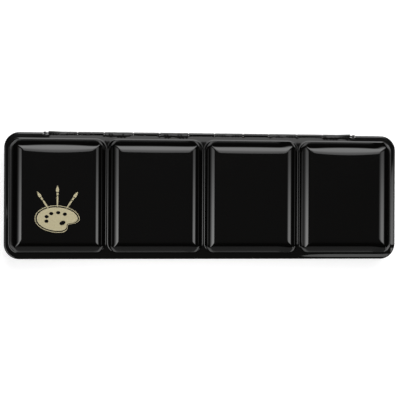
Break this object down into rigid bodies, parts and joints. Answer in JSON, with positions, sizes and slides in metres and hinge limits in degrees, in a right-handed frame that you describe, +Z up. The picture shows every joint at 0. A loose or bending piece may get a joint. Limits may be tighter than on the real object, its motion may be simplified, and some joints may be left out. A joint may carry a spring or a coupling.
{
  "type": "metal watercolour box",
  "caption": "Black lacquered tin watercolour box with a hinged lid of pressed mixing wells, a lift-out rack of half pans and a folding thumb ring.",
  "frame": {"origin": "on the table, under the middle of the closed box's overall outline", "axes": "+Z up, +X to the right along the length of the box seen from the front, +Y towards the hinge at the back"},
  "size_m": [0.231, 0.0738, 0.022],
  "materials": {
    "black_lacquer": "stoved gloss black lacquer on tinplate, white enamel on the inside",
    "lacquered_wire": "gloss black",
    "tinplate": "bright drawn tinplate",
    "plated_wire": "nickel plated",
    "white_plastic": "moulded, slightly glossy",
    "lemon_yellow": "dried watercolour cake",
    "deep_yellow": "dried watercolour cake",
    "indian_yellow": "dried watercolour cake",
    "orange": "dried watercolour cake",
    "vermilion": "dried watercolour cake",
    "scarlet": "dried watercolour cake",
    "carmine": "dried watercolour cake",
    "madder_lake": "dried watercolour cake",
    "magenta": "dried watercolour cake",
    "violet": "dried watercolour cake",
    "indigo": "dried watercolour cake",
    "payne_grey": "dried watercolour cake",
    "ultramarine": "dried watercolour cake",
    "cobalt_blue": "dried watercolour cake",
    "cerulean_blue": "dried watercolour cake",
    "turquoise": "dried watercolour cake",
    "viridian": "dried watercolour cake",
    "leaf_green": "dried watercolour cake",
    "sap_green": "dried watercolour cake",
    "yellow_ochre": "dried watercolour cake",
    "raw_sienna": "dried watercolour cake",
    "burnt_sienna": "dried watercolour cake",
    "sepia": "dried watercolour cake",
    "ivory_black": "dried watercolour cake"
  },
  "bodies": {
    "base": {"base_tray": "black_lacquer", "hinge_wire": "lacquered_wire", "pan_rack": "tinplate", "thumb_ring_clip": "plated_wire", "half_pan_01": "white_plastic", "half_pan_02": "white_plastic", "half_pan_03": "white_plastic", "half_pan_04": "white_plastic", "half_pan_05": "white_plastic", "half_pan_06": "white_plastic", "half_pan_07": "white_plastic", "half_pan_08": "white_plastic", "half_pan_09": "white_plastic", "half_pan_10": "white_plastic", "half_pan_11": "white_plastic", "half_pan_12": "white_plastic", "half_pan_13": "white_plastic", "half_pan_14": "white_plastic", "half_pan_15": "white_plastic", "half_pan_16": "white_plastic", "half_pan_17": "white_plastic", "half_pan_18": "white_plastic", "half_pan_19": "white_plastic", "half_pan_20": "white_plastic", "half_pan_21": "white_plastic", "half_pan_22": "white_plastic", "half_pan_23": "white_plastic", "half_pan_24": "white_plastic", "paint_01": "lemon_yellow", "paint_02": "deep_yellow", "paint_03": "indian_yellow", "paint_04": "orange", "paint_05": "vermilion", "paint_06": "scarlet", "paint_07": "carmine", "paint_08": "madder_lake", "paint_09": "magenta", "paint_10": "violet", "paint_11": "indigo", "paint_12": "payne_grey", "paint_13": "ultramarine", "paint_14": "cobalt_blue", "paint_15": "cerulean_blue", "paint_16": "turquoise", "paint_17": "viridian", "paint_18": "leaf_green", "paint_19": "sap_green", "paint_20": "yellow_ochre", "paint_21": "raw_sienna", "paint_22": "burnt_sienna", "paint_23": "sepia", "paint_24": "ivory_black"},
    "lid": {"lid": "black_lacquer"},
    "thumb_ring": {"thumb_ring": "plated_wire"}
  },
  "joints": [
    {"name": "lid_hinge", "type": "hinge", "parent": "base", "child": "lid", "pos_m": [-0.0012, 0.03605, 0.01598], "axis": [-1, 0, 0], "range_deg": [0, 180]},
    {"name": "thumb_ring_hinge", "type": "hinge", "parent": "base", "child": "thumb_ring", "pos_m": [-0.0115, 0, 0.00169], "axis": [0, 1, 0], "range_deg": [0, 100]}
  ]
}
